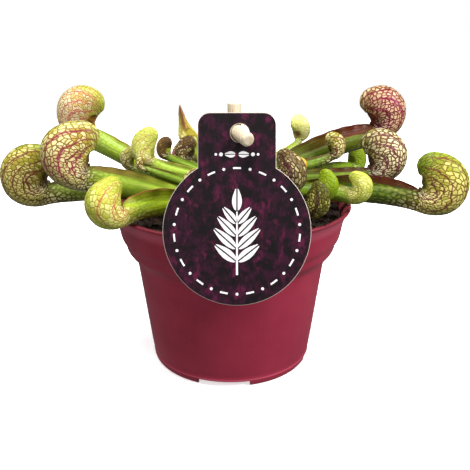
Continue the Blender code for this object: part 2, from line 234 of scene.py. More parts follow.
class Graph:
    """A new material. Its nodes take numbers, vectors, sRGB colours from 0 to 255 and each other's values."""

    def __init__(self, name):
        self.material = bpy.data.materials.new(name)
        self.material.use_nodes = True
        self.tree = self.material.node_tree
        self.shader = self.tree.nodes["Principled BSDF"]

    def join(self, socket, value):
        if isinstance(value, Value):
            self.tree.links.new(value.socket, socket)
        elif socket.type == "RGBA":
            socket.default_value = (*linear(value), 1)
        else:
            socket.default_value = value

    def node(self, kind, inputs, output=0, **settings):
        made = self.tree.nodes.new("ShaderNode" + kind)
        for key, value in settings.items():
            setattr(made, key, value)
        for key, value in inputs.items():
            self.join(made.inputs[key], value)
        return Value(self, made.outputs[output])

    def finish(self, **inputs):
        for key, value in inputs.items():
            self.join(self.shader.inputs[key.replace("_", " ")], value)
        return self.material

    def math(self, operation, a, b=0.0, clamp=False):
        return self.node("Math", {0: a, 1: b}, operation=operation, use_clamp=clamp)

    def larger(self, a, b):
        return self.math("MAXIMUM", a, b)

    def step(self, value, low, high):
        """0 at low, 1 at high and smooth between them."""
        return self.node("MapRange", {0: value, 1: low, 2: high}, interpolation_type="SMOOTHSTEP")

    def mix(self, factor, a, b):
        return self.node("Mix", {0: factor, 6: a, 7: b}, 2, data_type="RGBA")

    def attribute(self, name):
        return self.node("Attribute", {}, 1, attribute_name=name)

    def split(self, vector):
        node = self.node("SeparateXYZ", {0: vector}).socket.node
        return [Value(self, socket) for socket in node.outputs]

    def vector(self, x, y):
        return self.node("CombineXYZ", {0: x, 1: y})

    def length(self, vector):
        return self.node("VectorMath", {0: vector}, 1, operation="LENGTH")

    def offset(self, vector, by):
        return self.node("VectorMath", {0: vector, 1: by}, operation="ADD")

    def scaled(self, vector, by):
        return self.node("VectorMath", {0: vector, 1: by}, operation="MULTIPLY")

    def noise(self, vector, scale, detail, roughness=0.5, output=0):
        inputs = {"Vector": vector, "Scale": scale, "Detail": detail, "Roughness": roughness}
        return self.node("TexNoise", inputs, output)

    def cells(self, vector, size):
        """Distance to the nearest edge of a cell, and two random numbers of that cell."""
        inputs = {"Vector": vector, "Scale": 1 / size, "Randomness": 0.9}
        edge = self.node("TexVoronoi", inputs, voronoi_dimensions="2D", feature="DISTANCE_TO_EDGE")
        colour = self.node("TexVoronoi", inputs, 1, voronoi_dimensions="2D", feature="F1")
        lot, other_lot, _ = self.split(colour)
        return edge, lot, other_lot

    def bump(self, height, distance, strength=1.0):
        return self.node("Bump", {"Height": height, "Distance": distance, "Strength": strength})

    def object_place(self):
        """The place on the object, in millimetres."""
        return self.scaled(self.node("TexCoord", {}, 3), (1000.0, 1000.0, 1000.0))


# Looks of a leaf. Colours from 0 to 255: the tube and its dark streaks, its fin, the hood's flank and its
# outer side (a greener tone, darkened as painted shade), its windows, its veins, its blush, its beak and its
# mouth (the leaf's tone there, on most leaves darkened as painted shade inside the mouth). Then how many
# windows are open, how strong the blush is, the size of a window in millimetres, the veins' width as a share
# of that, the main veins on each side, how far the windows run down the tube, how far the fin's colour comes
# down from it, and how far the windows close towards the beak.
Look = namedtuple(
    "Look",
    "tube streak wing ground deep window vein blush beak mouth "
    "open blushing cell veins lines drop bronze closing",
    defaults=(0.7,),
)
LOOKS = {
    "citron": Look(
        (66, 92, 10), (34, 50, 4), (84, 24, 12), (176, 180, 48), (92, 118, 10),
        (252, 236, 140), (96, 34, 34), (160, 78, 70), (122, 156, 30), (86, 90, 24),
        0.95, 0.30, 1.60, 0.095, 4.0, 0.35, 0.65, 0.95,
    ),
    "netted": Look(
        (108, 132, 30), (48, 70, 10), (84, 34, 24), (172, 150, 62), (104, 112, 20),
        (255, 246, 196), (76, 26, 32), (136, 54, 78), (130, 128, 42), (84, 48, 28),
        1.10, 0.55, 1.45, 0.130, 4.5, 0.35, 0.80, 0.35,
    ),
    "netted_small": Look(
        (128, 158, 42), (70, 100, 20), (96, 52, 28), (186, 172, 72), (122, 118, 34),
        (250, 240, 172), (88, 40, 30), (170, 98, 76), (172, 174, 62), (76, 46, 22),
        0.98, 0.20, 1.25, 0.11, 2.5, 0.30, 0.50, 0.40,
    ),
    "crimson": Look(
        (96, 116, 26), (52, 56, 12), (92, 16, 8), (146, 74, 52), (128, 140, 28),
        (246, 210, 168), (92, 18, 32), (138, 26, 62), (150, 136, 52), (104, 26, 22),
        1.05, 0.95, 1.35, 0.115, 4.5, 0.30, 1.2, 0.25,
    ),
    "blushed": Look(
        (142, 168, 42), (76, 102, 18), (126, 104, 44), (202, 184, 64), (112, 114, 14),
        (255, 248, 180), (88, 32, 24), (158, 50, 76), (190, 196, 64), (82, 50, 22),
        1.05, 0.92, 1.38, 0.100, 5.0, 0.35, 0.60, 0.45,
    ),
    "olive": Look(
        (112, 134, 30), (50, 70, 10), (90, 56, 28), (190, 186, 52), (108, 122, 12),
        (252, 238, 150), (82, 34, 22), (142, 56, 60), (108, 136, 28), (60, 38, 16),
        1.0, 0.60, 1.40, 0.095, 5.0, 0.35, 0.50, 0.70,
    ),
    "peach": Look(
        (166, 194, 46), (104, 142, 24), (146, 158, 48), (222, 208, 116), (190, 194, 72),
        (255, 244, 204), (166, 66, 60), (232, 140, 120), (170, 194, 58), (136, 84, 26),
        0.95, 0.60, 1.25, 0.085, 5.5, 0.20, 0.20, 0.80,
    ),
    "primrose": Look(
        (168, 190, 30), (96, 132, 16), (150, 150, 30), (198, 212, 78), (172, 194, 44),
        (242, 240, 152), (178, 76, 58), (232, 158, 106), (176, 198, 58), (124, 112, 24),
        0.85, 0.25, 1.35, 0.062, 4.0, 0.60, 0.50,
    ),
    "primrose_small": Look(
        (164, 192, 56), (96, 132, 30), (142, 132, 48), (212, 218, 104), (172, 188, 62),
        (240, 238, 166), (184, 134, 82), (230, 180, 128), (208, 220, 92), (150, 144, 48),
        0.75, 0.35, 1.3, 0.06, 3.5, 0.30, 0.40,
    ),
    "pale_small": Look(
        (152, 178, 62), (92, 122, 32), (130, 116, 50), (206, 200, 106), (162, 156, 62),
        (240, 232, 178), (124, 86, 52), (206, 160, 120), (200, 204, 94), (110, 100, 36),
        0.90, 0.20, 1.25, 0.085, 3.5, 0.30, 0.40,
    ),
    "lime": Look(
        (150, 184, 44), (78, 112, 20), (132, 118, 40), (202, 210, 84), (160, 182, 44),
        (234, 234, 142), (148, 126, 54), (216, 186, 106), (200, 214, 84), (104, 108, 26),
        0.75, 0.15, 1.15, 0.06, 3.5, -0.25, 0.10,
    ),
    "moss": Look(
        (110, 142, 30), (56, 82, 14), (72, 52, 26), (104, 100, 26), (74, 76, 14),
        (220, 212, 112), (48, 34, 16), (112, 70, 50), (104, 108, 30), (60, 46, 18),
        0.84, 0.2, 0.9, 0.13, 2.5, 0.25, 0.50,
    ),
    "fresh": Look(
        (122, 152, 34), (62, 90, 18), (112, 120, 30), (124, 150, 14), (72, 98, 6),
        (152, 176, 36), (74, 100, 14), (172, 150, 60), (142, 164, 24), (104, 112, 26),
        0.15, 0.10, 1.6, 0.03, 4.5, 0.20, 0.10,
    ),
    "dusky": Look(
        (122, 150, 44), (64, 88, 22), (74, 38, 32), (138, 116, 62), (84, 64, 34),
        (238, 226, 158), (58, 30, 26), (118, 62, 64), (116, 96, 52), (44, 28, 18),
        0.80, 0.40, 1.1, 0.12, 2.5, 0.25, 0.60,
    ),
    "umber": Look(
        (150, 180, 62), (84, 118, 32), (86, 58, 30), (138, 106, 56), (106, 78, 36),
        (182, 156, 82), (74, 48, 32), (132, 88, 66), (96, 68, 42), (176, 190, 58),
        0.50, 0.30, 1.1, 0.09, 2.5, 0.10, 0.20,
    ),
    "straw": Look(
        (166, 190, 60), (112, 142, 38), (160, 150, 64), (212, 208, 96), (176, 182, 62),
        (238, 234, 160), (166, 138, 66), (220, 180, 92), (156, 84, 52), (146, 130, 24),
        0.50, 0.15, 1.3, 0.06, 3.5, 0.20, 0.20,
    ),
    "cream": Look(
        (176, 200, 72), (118, 150, 46), (164, 168, 66), (240, 242, 148), (226, 230, 118),
        (255, 252, 190), (220, 200, 116), (228, 164, 126), (244, 244, 138), (146, 86, 62),
        0.50, 0.15, 1.3, 0.04, 3.5, 0.20, 0.20,
    ),
    "amber": Look(
        (190, 188, 68), (134, 142, 46), (184, 150, 56), (230, 190, 74), (206, 158, 52),
        (246, 222, 126), (190, 122, 48), (226, 144, 66), (236, 184, 70), (146, 104, 30),
        0.45, 0.30, 0.9, 0.06, 2.5, 0.20, 0.20,
    ),
}


def leaf_material(name, look, seed, squeeze):
    """Green streaked tube, netted hood with pale windows, dark main veins, blush, beak and mouth.

    Towards the notch the hood is shorter, so its net is drawn in by squeeze there, from a main vein onwards.
    """
    g = Graph(name)
    along, around, share = g.split(g.attribute("leaf"))
    part, mouth, fin = g.split(g.attribute("form"))
    side = abs(share)
    flat = g.offset(g.vector(along, around), (37.3 * seed, 19.1 * seed, 5.7 * seed))
    broad = g.noise(flat, 0.13, 2.0)
    border = side + g.noise(flat, 0.25, 1.0) * 0.16 - (NET_BORDER + 0.08)
    drawn_in = g.larger(part - 1.0, 0.0) * g.math("GREATER_THAN", border, 0.0) * -squeeze
    warp = g.scaled(g.offset(g.noise(flat, 0.5, 2.0, output=1), (-0.5, -0.5, -0.5)), (1.1, 1.1, 0.0))
    bent = g.offset(g.offset(flat, warp), g.vector(drawn_in, 0.0))
    edge, lot, other_lot = g.cells(bent, look.cell)
    fine_edge, _, _ = g.cells(bent, 0.42 * look.cell)

    # Zones: the outer side of the neck, which gets a greener tone darkened as painted shade on the underside,
    # the side that faces the notch, the beak with the hood's crest, the neck, and the hood as a whole, which
    # starts lower down on the tube's outer side than on its upper side
    outer = g.step(side + broad * 0.3, 0.72, 0.30) * g.step(part, 1.70, 1.20)
    inner = g.step(side, 0.52, 0.80) * g.step(part, 1.70, 1.25)
    crest = g.step(side + broad * 0.3, 0.46, 0.12) * g.step(part, 1.30, 1.60)
    beak = g.larger(g.step(part + broad * 0.4, 1.86, 2.2), crest * 0.75)
    neck = g.step(part + broad * 0.2, 1.30, 0.95)
    hood = g.step(part + (0.75 - side) * look.drop + broad * 0.16, 0.94, 1.20)

    # Veins: the net, a fainter net inside its meshes, and the main ones that run the length of the leaf
    bold = inner * (look.veins * 0.7) + neck * (look.veins * 0.5)
    thick = (broad + 0.5) * (bold + look.veins)
    net = g.step(edge, thick * 1.6, thick * 0.4)
    fine = g.step(fine_edge, 0.11, 0.02)
    sway = g.noise(flat, 0.09, 2.0) * 1.1 + g.noise(flat, 0.4, 1.0) * 0.35
    off_line = abs(g.math("FRACT", share * look.lines + sway) - 0.5)
    narrow = off_line + g.noise(flat, 0.6, 1.0) * 0.06
    main = g.step(narrow, 0.05 + 0.75 * look.veins, 0.02 + 0.45 * look.veins)
    main = g.larger(main, g.step(abs(border), 0.018, 0.008) * g.step(part, 0.9, 1.05))
    beside = g.step(off_line, 0.30, 0.05)
    vein = g.larger(net * min(0.90, 7.6 * look.veins), main * min(0.95, 14 * look.veins))
    vein = g.larger(vein, fine * min(0.25, 2.5 * look.veins)) * (0.98 - beak * 0.2)
    inside = g.step(edge, thick * 0.7, thick * 0.9 + 0.10)

    # Hood
    flush = g.step(g.noise(flat, 0.11, 1.0), 0.24, 0.58) * g.step(part, 1.15, 1.48)
    flush *= g.step(part, 2.04, 1.84) * g.step(side, 0.98, 0.70) * look.blushing
    flush *= g.step(side + broad * 0.25, 0.16, 0.46) * (beside * 0.5 + 0.5)
    # Painted shade: the ground darker and greener on the underside
    ground = g.mix(outer, look.ground, look.deep)
    ground = g.mix(neck * min(0.85, 8.5 * look.veins), ground, g.mix(0.15, look.streak, look.wing))
    ground = g.mix(inner * 0.8, ground, look.vein)
    ground = g.mix(beak, ground, look.beak)
    open_share = look.open - g.step(part, 1.55, 1.95) * look.closing
    open_share -= g.step(part, 1.05, 0.85) * g.step(side, 0.25, 0.75) * 1.1
    open_share += (broad - 0.5) * 0.6 - crest * (0.5 * look.closing)
    open_share -= inner * (1.6 * max(0.0, look.bronze - 0.9))
    opened = inside * g.step(lot - open_share, 0.12, -0.12)
    bright = g.mix(other_lot * 0.45, look.window, look.ground)
    # Painted shade: the windows on the underside dimmed towards the darker underside tone
    bright = g.mix(outer * 0.8 * g.step(part, 0.95, 1.3), bright, look.deep)
    bright = g.mix(g.larger(neck, inner) * min(0.6, 5 * look.veins), bright, (255, 253, 226))
    bright = g.mix(g.step(part, 1.05, 0.80) * 0.75, bright, look.tube)
    bright = g.mix(beak * 0.35, bright, look.beak)
    colour = g.mix(opened, ground, bright)
    colour = g.mix(flush * (0.92 - opened * 0.66), colour, look.blush)
    flushed = g.math("MULTIPLY", flush, 1.1 - inner * 0.75, clamp=True)
    # Painted shade: the veins darker on the underside and on the lower side of the neck
    under = g.larger(outer, neck * g.step(side, 0.9, 0.5)) * 0.6
    vein_colour = g.mix(under, look.vein, g.mix(0.35, look.streak, look.vein))
    vein_colour = g.mix(flushed, vein_colour, look.blush)
    colour = g.mix(vein, colour, vein_colour)

    # Tube
    lengthways = g.noise(g.offset(g.vector(along * 0.08, share * 3.0), (seed, 0.0, 0.0)), 1.6, 4.0, 0.6)
    ribs = g.noise(g.offset(g.vector(along * 0.05, share * 9.0), (seed, 3.0, 0.0)), 1.6, 2.0)
    light = g.mix(min(1.0, look.bronze), look.window, look.ground)
    nearing = g.step(part, 0.45, 1.0)
    tube = g.mix(g.step(lengthways, 0.36, 0.74) * 0.65, look.tube, look.streak)
    tube = g.mix(g.step(ribs, 0.54, 0.70) * 0.20, tube, look.streak)
    tube = g.mix(g.step(ribs, 0.45, 0.30) * 0.22, tube, light)
    tube = g.mix(inside * nearing * 0.16, tube, light)
    tube = g.mix(net * nearing * 0.30, tube, look.streak)
    tube = g.mix(g.step(part, 0.40, 0.02) * 0.45, tube, look.streak)
    edge_low = 1.0 - 0.28 * look.bronze
    top = fin + g.step(side + lengthways * 0.25, edge_low, edge_low + 0.22) * look.bronze
    fin_colour = g.mix(g.step(part + lengthways * 0.4, 0.45, 0.95), look.tube, look.wing)
    fin_colour = g.mix(g.step(lengthways, 0.35, 0.7) * 0.55, fin_colour, look.streak)
    fin_colour = g.mix(g.step(fin, 0.78, 1.0) * 0.65, fin_colour, look.vein)
    tube = g.mix(g.math("MINIMUM", g.step(top + broad * 0.3, 0.35, 1.0), 0.94), tube, fin_colour)

    colour = g.mix(hood * g.step(fin, 0.9, 0.2), tube, colour)
    # The mouth pocket takes the look's mouth colour: the leaf's tone there, on most leaves darkened as
    # painted shade inside the mouth
    colour = g.mix(mouth * 0.92, colour, look.mouth)
    netted = inside * hood * g.step(mouth, 0.5, 0.0)
    relief = netted * 0.8 + ribs * (1.0 - hood) + g.noise(flat, 1.7, 2.0) * 0.25
    return g.finish(
        Base_Color=colour,
        Roughness=broad * 0.16 + 0.30 + mouth * 0.3,
        Subsurface_Weight=0.10,
        Subsurface_Radius=(1.0, 0.8, 0.2),
        Subsurface_Scale=0.0012,
        Specular_IOR_Level=0.20,
        Normal=g.bump(relief, 0.00025, 0.8),
    )


class Leaf:
    """The curved line of one pitcher leaf, and the size of its section along the tube and round the hood."""

    def __init__(self, spec):
        self.spec = spec
        self.depth = spec.tube * spec.size
        ring = math.radians(RING_ANGLES[spec.ring])
        out = polar(1, spec.start, 0)
        self.start_line = out * math.cos(ring) + Vector((0, 0, math.sin(ring)))
        self.start = Vector((0, 0, CROWN_CENTRE)) + self.start_line * (CROWN_RADIUS + GAP)
        pitch = math.radians(spec.pitch)
        heading = polar(1, spec.azimuth + SWING * (spec.azimuth - spec.start), 0)
        self.end_line = heading * math.cos(pitch) + Vector((0, 0, math.sin(pitch)))
        self.notch = polar(spec.reach, spec.azimuth, spec.height)
        self.end_up = up_from(self.end_line)
        self.end = self.notch - self.end_up * self.depth / 2

    def point(self, t):
        """Place and direction along the tube, from 0 at the crown to 1 at the mouth."""
        pull = LINE_PULL * (self.end - self.start).length
        a, b = self.start, self.end
        da, db = self.start_line * pull, self.end_line * pull
        t2, t3 = t * t, t * t * t
        place = a * (2 * t3 - 3 * t2 + 1) + da * (t3 - 2 * t2 + t) + b * (3 * t2 - 2 * t3) + db * (t3 - t2)
        line = a * (6 * t2 - 6 * t) + da * (3 * t2 - 4 * t + 1) + b * (6 * t - 6 * t2) + db * (3 * t2 - 2 * t)
        return place, line.normalized()

    def tube_section(self, t):
        """Top of the section, its up, its side, and its depth, half width and wing height."""
        place, line = self.point(t)
        up = up_from(line)
        grown = max(0.0, t) ** 0.85
        depth = LEAF_BASE_DEPTH + (self.depth - LEAF_BASE_DEPTH) * grown
        half = (LEAF_BASE_WIDTH + (TUBE_WIDTH_SHARE * self.depth - LEAF_BASE_WIDTH) * grown) / 2
        half *= 1 + 0.7 * (1 - ease(t, -0.05, SHEATH_END))
        wing = self.spec.wing * self.spec.size * math.sin(math.pi * max(0.0, t) ** WING_SKEW) ** 0.8
        return place + up * depth / 2, up, line.cross(up), 0, depth, half, wing

    def away(self, turn):
        angle = math.radians(turn)
        return self.end_line * math.cos(angle) + self.end_up * math.sin(angle)

    def hood_section(self, t):
        """The same, for a slice of the hood that fans round the notch, from 0 at the tube to 1 at the tip."""
        size, tube = self.spec.size, self.spec.tube
        turn = -90 + (self.spec.curl + 90) * t
        away = self.away(turn)
        if turn < HOOD_PEAK:
            outer = size * (tube + (1 - tube) * smooth((turn + 90) / (HOOD_PEAK + 90)))
        else:
            outer = size * (1 - HOOD_DROOP * (1 - math.cos(math.radians(HOOD_SPREAD * (turn - HOOD_PEAK)))))
        inner = MOUTH_GAP * min(1, 6 * t)
        shut = min(1, max(0, (turn - self.spec.curl) / BEAK_SWEEP + 1)) * BEAK_BLUNT
        middle = (inner + outer) / 2
        middle += (BEAK_REACH * outer - middle) * shut**1.3
        reach = (outer - inner) / 2 * math.sqrt(1 - shut**2)
        half = TUBE_WIDTH_SHARE * self.depth / 2 * (1 - t)
        half += HOOD_SIDE_SHARE * size * math.sin(math.pi * t) ** 0.8
        half = half * math.sqrt(1 - shut**4) + BEAK_TIP_SHARE * size * t
        half *= 1 - HORN_SLIMNESS * self.spec.horn * t
        side = self.end_line.cross(self.end_up)
        fan = self.notch + side * HORN_LEAN * self.spec.horn * size * t**3
        return fan, -away, side, middle - reach, 2 * reach, half, 0


def half_profile(depth, half, wing, count):
    """The points on one side of a section, from its top down: across, up and share of the wing."""
    points = []
    flat = min(1.0, wing / WING_FULL)
    for k in range(WING_POINTS):
        w = 1 - k / WING_POINTS
        angle = math.radians(WING_FOOT + (90 - WING_FOOT) * w)
        base = half * math.cos(math.radians(WING_FOOT))
        thick = WING_EDGE + max(0.0, base - WING_EDGE) * (1 - w) ** 1.6
        across = (1 - flat) * half * math.cos(angle) + flat * thick
        height = depth / 2 * math.sin(angle) + wing * w**1.1
        points.append((max(across, min(0.12, 0.3 * half)), height, w * flat))
    for k in range(count - WING_POINTS + 1):
        angle = math.radians(WING_FOOT - k * (90 + WING_FOOT) / (count - WING_POINTS))
        points.append((half * math.cos(angle), depth / 2 * math.sin(angle), 0))
    points[-1] = (0, -depth / 2, 0)
    return points


def leaf_piece(spec, seed):
    leaf = Leaf(spec)
    count, tube_steps, hood_steps = next(steps for size, steps in LEAF_DETAIL if spec.size > size)
    stations = [(-0.06 + 1.06 * k / tube_steps, leaf.tube_section) for k in range(tube_steps + 1)]
    stations += [(1 - (1 - k / hood_steps) ** 1.3, leaf.hood_section) for k in range(1, hood_steps + 1)]
    mouth_turn = spec.curl - MOUTH_BACK
    mouth_out = leaf.away(mouth_turn)
    slice_at = leaf.hood_section((mouth_turn + 90) / (spec.curl + 90))
    mouth_place = leaf.notch + mouth_out * slice_at[3]
    mouth_size = MOUTH_SHARE * spec.size
    work = bmesh.new()
    loops, leaf_data, form_data = [], [], []
    full_turn = math.radians(spec.curl + 90)
    along, last = 0.0, None
    for t, section_at in stations:
        top, up, side, inset, depth, half, wing = section_at(t)
        in_hood = section_at == leaf.hood_section
        part = 1 + t if in_hood else max(0.0, t)
        if in_hood:
            along_here = tube_length + NET_ALONG_HOOD * spec.size * (full_turn * t)
        else:
            if last is not None:
                along += (top - last).length / (2.6 - 1.2 * ease(t, 0.4, 1))
            tube_length = along_here = along
        last = top
        right = half_profile(depth, half, wing, count)
        lengths = [0.0]
        for (x0, y0, _), (x1, y1, _) in zip(right[::-1], right[-2::-1]):
            lengths.append(lengths[-1] + math.hypot(x1 - x0, y1 - y0))
        lengths = lengths[::-1]
        wave = 0.35 * math.sin(along_here * 1.9 + seed) * min(1.0, wing / 2)
        ring = [(x, y, w, length) for (x, y, w), length in zip(right, lengths)]
        ring += [(-x, y, w, -length) for x, y, w, length in ring[-2::-1]]
        loops.append([])
        for x, y, w, length in ring:
            place = top + side * (x + wave * w * w) + up * (y - depth / 2 - inset)
            swell = noise.noise(place / SWELL_SIZE + Vector((seed, 0, 0)))
            if part > 0.5:
                outward = (side * x + up * y).normalized() if abs(x) + abs(y) > 0.01 else up
                place += outward * swell * SWELL * min(1.0, (part - 0.5) * 2) * min(1.0, spec.size / 12)
            hole = 0.0
            if in_hood:
                near = (place - mouth_place).length / mouth_size
                hole = 1 - ease(near, 0.55, 1.0)
                lip = math.exp(-(((near - 1.05) / 0.2) ** 2))
                place += mouth_out * (hole * 0.30 - lip * 0.05) * mouth_size
            loops[-1].append(work.verts.new(place))
            leaf_data.append((along_here, length, length / lengths[0]))
            form_data.append((part, hole, w))
    skin(work, loops)
    name = "leaf_" + spec.name
    squeeze = (NET_ALONG_HOOD - NET_ALONG_NOTCH) * spec.size * full_turn
    piece = piece_of(name, work, leaf_material(name, LOOKS[spec.look], seed, squeeze))
    for key, rows in (("leaf", leaf_data), ("form", form_data)):
        layer = piece.data.attributes.new(key, "FLOAT_VECTOR", "POINT")
        layer.data.foreach_set("vector", np.array(rows, np.float32).ravel())
    place_piece(piece, "leaf_" + spec.slot, "pitcher_" + spec.name)


def piece_of(name, work, *materials, angle=50):
    """A smooth mesh object in metres, from a shape in millimetres."""
    bmesh.ops.scale(work, vec=(MM, MM, MM), verts=work.verts)
    bmesh.ops.recalc_face_normals(work, faces=work.faces)
    mesh = bpy.data.meshes.new(name)
    work.to_mesh(mesh)
    work.free()
    mesh.shade_smooth()
    mesh.set_sharp_from_angle(angle=math.radians(angle))
    for one in materials:
        mesh.materials.append(one)
    piece = bpy.data.objects.new(name, mesh)
    bpy.context.scene.collection.objects.link(piece)
    return piece


def place_piece(piece, slot, *nodes):
    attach(piece, BODY)
    if nodes:
        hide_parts(*nodes)


def circle(work, radius, height, sides, first_azimuth=0.0):
    return [work.verts.new(polar(radius, first_azimuth + 360 * k / sides, height)) for k in range(sides)]


def flat_loop(work, points, z):
    return [work.verts.new((x, y, z)) for x, y in points]


def skin(work, loops, closed=True):
    """Joins each loop of points to the next, and closes the first and the last one."""
    for lower, upper in zip(loops, loops[1:]):
        for i in range(len(lower)):
            j = (i + 1) % len(lower)
            work.faces.new((lower[i], lower[j], upper[j], upper[i]))
    if closed:
        work.faces.new(loops[0])
        work.faces.new(loops[-1])


def turned(profile, sides, first_azimuth=0.0):
    """A closed solid of revolution. The profile starts and ends on the axis."""
    work = bmesh.new()
    loops = [circle(work, radius, height, sides, first_azimuth) for radius, height in profile[1:-1]]
    skin(work, loops, closed=False)
    for loop, (_, height) in ((loops[0], profile[0]), (loops[-1], profile[-1])):
        pole = work.verts.new((0, 0, height))
        for i in range(sides):
            work.faces.new((loop[i], loop[(i + 1) % sides], pole))
    return work


def rounded(profile):
    """The profile with each inner corner cut twice into a soft bend."""
    for _ in range(2):
        bent = [profile[0]]
        for (ax, ay), (bx, by), (cx, cy) in zip(profile, profile[1:], profile[2:]):
            before = min(BEND_SHARE, BEND_REACH / max(0.01, math.hypot(bx - ax, by - ay)))
            after = min(BEND_SHARE, BEND_REACH / max(0.01, math.hypot(cx - bx, cy - by)))
            bent.append((bx + (ax - bx) * before, by + (ay - by) * before))
            bent.append((bx + (cx - bx) * after, by + (cy - by) * after))
        bent.append(profile[-1])
        profile = bent
    return profile


def pot_material():
    g = Graph("crimson plastic")
    place = g.object_place()
    x, y, z = g.split(place)
    cloud = g.noise(place, 0.05, 3.0)
    drawn = g.noise(g.scaled(place, (1.0, 1.0, 0.04)), 0.5, 3.0)
    peel = g.noise(place, 1.4, 2.0)
    colour = g.mix(g.step(cloud, 0.3, 0.7), (166, 48, 72), (152, 40, 63))
    colour = g.mix(g.step(drawn, 0.5, 0.75) * 0.08, colour, (182, 66, 92))
    grime = g.step(g.noise(place, 0.35, 5.0, 0.7), 0.56, 0.72) * g.step(z, 54.0, 61.0)
    colour = g.mix(grime * 0.55, colour, (58, 26, 26))
    # Painted light: a lighter band on the wall just under the lip, where the lip's shadow falls
    colour = g.mix(g.step(z, 55.5, 58.5) * g.step(z, 61.0, 60.0) * 0.6, colour, (206, 90, 112))
    # Painted shade: the lip's upturned top face darker, so the light from above lifts it less
    colour = g.mix(g.step(z, 60.8, 61.3) * 0.35, colour, (88, 28, 36))
    # Painted shade: the pot's inner wall above the soil darker, as in the shade inside the pot
    inward = g.length(g.vector(x, y)) - z * INNER_WALL_SLOPE
    colour = g.mix(g.step(inward, 7.5, 6.9) * 0.75, colour, (88, 28, 36))
    # Painted highlight: a light line round the top of the foot ring's ledge
    foot_highlight = g.step(z, 2.45, 2.6) * g.step(z, 3.1, 2.9)
    colour = g.mix(foot_highlight * 0.35, colour, (212, 106, 126))
    scuffs = g.step(g.noise(g.scaled(place, (1.0, 1.0, 0.15)), 0.9, 6.0, 0.75), 0.66, 0.78)
    return g.finish(
        Base_Color=g.mix(scuffs * 0.14, colour, (190, 100, 118)),
        Roughness=cloud * 0.18 + 0.42,
        Subsurface_Weight=0.05,
        Subsurface_Scale=0.001,
        Specular_IOR_Level=0.3,
        Normal=g.bump(peel + drawn * 0.3, 0.0001, 0.5),
    )


def pot():
    first = NOTCH_AZIMUTH - 180 * FOOT_NOTCH_SIDES / POT_SIDES
    inside = [(r - WALL, z) for r, z in reversed(POT_OUTSIDE) if z > FLOOR_TOP]
    ledge = [(FOOT_OUTER, UNDERSIDE), (FOOT_OUTER + 0.04, 2.6), (FOOT_OUTER, 2.8)]
    outline = rounded([(FOOT_OUTER - 0.14, 3.0), *POT_OUTSIDE[1:], *inside, (FOOT_INNER, FLOOR_TOP)])
    profile = [(0, UNDERSIDE), (FOOT_INNER, UNDERSIDE), *ledge, *outline, (0, FLOOR_TOP)]
    work = turned(profile, POT_SIDES, first)
    extrude_foot(work, first)
    piece = piece_of("pot_body", work, pot_material(), angle=60)
    drains = bmesh.new()
    for k in range(FOOT_COUNT):
        bmesh.ops.create_cone(
            drains,
            cap_ends=True,
            segments=32,
            radius1=DRAIN_RADIUS,
            radius2=DRAIN_RADIUS,
            depth=4 * WALL,
            matrix=Matrix.Translation(polar(DRAIN_REACH, NOTCH_AZIMUTH + 360 * k / FOOT_COUNT, FLOOR_TOP)),
        )
    cutter = piece_of("drain_cutter", drains)
    boolean = piece.modifiers.new("drains", "BOOLEAN")
    boolean.operation = "DIFFERENCE"
    boolean.object = cutter
    settle(piece)
    bpy.data.objects.remove(cutter)
    place_piece(piece, "pot", "pot")


def settle(piece):
    """Applies the piece's modifiers to its mesh."""
    graph = bpy.context.evaluated_depsgraph_get()
    done = bpy.data.meshes.new_from_object(piece.evaluated_get(graph))
    piece.modifiers.clear()
    piece.data = done


def extrude_foot(work, first):
    """Draws the foot ring down to the table, except at the notches."""
    sides_each = POT_SIDES // FOOT_COUNT
    ring = [
        face
        for face in work.faces
        if len(face.verts) == 4
        and all(abs(vert.co.z - UNDERSIDE) < 0.01 for vert in face.verts)
        and all(FOOT_INNER - 0.1 < vert.co.xy.length < FOOT_OUTER + 0.1 for vert in face.verts)
    ]
    foot = []
    for face in ring:
        centre = face.calc_center_median()
        azimuth = math.degrees(math.atan2(centre.y, centre.x)) - first
        if int(azimuth % 360 * POT_SIDES / 360) % sides_each >= FOOT_NOTCH_SIDES:
            foot.append(face)
    for height, outer in FOOT_ROUNDING:
        extruded = bmesh.ops.extrude_face_region(work, geom=foot)["geom"]
        for item in extruded:
            if isinstance(item, bmesh.types.BMVert):
                item.co.z = height
                if item.co.xy.length > FOOT_INNER + 0.3:
                    item.co.xy = item.co.xy.normalized() * outer
        bmesh.ops.delete(work, geom=foot, context="FACES_ONLY")
        foot = [item for item in extruded if isinstance(item, bmesh.types.BMFace)]


def soil_height(place):
    flat = Vector((place.x, place.y, 0))
    height = SOIL_LEVEL + SOIL_BANK * ease(flat.length, BANK_START, BANK_END)
    height += SOIL_LUMPS * noise.noise(flat / SOIL_LUMP_SIZE)
    return height + 0.55 * noise.noise(flat / 1.9) + 0.35 * noise.noise(flat / 0.8 + Vector((9, 0, 0)))


def peat_material():
    g = Graph("peat")
    place = g.object_place()
    grain = g.noise(place, 0.9, 6.0, 0.7)
    patch = g.noise(place, 0.22, 2.0)
    colour = g.mix(g.step(grain, 0.38, 0.66), (15, 10, 8), (50, 33, 24))
    colour = g.mix(g.step(patch, 0.5, 0.7) * 0.5, colour, (66, 38, 28))
    fleck = g.step(g.noise(place, 2.6, 2.0), 0.70, 0.76)
    return g.finish(
        Base_Color=g.mix(fleck * 0.7, colour, (124, 92, 66)),
        Roughness=0.92,
        Specular_IOR_Level=0.25,
        Normal=g.bump(grain, 0.0006),
    )


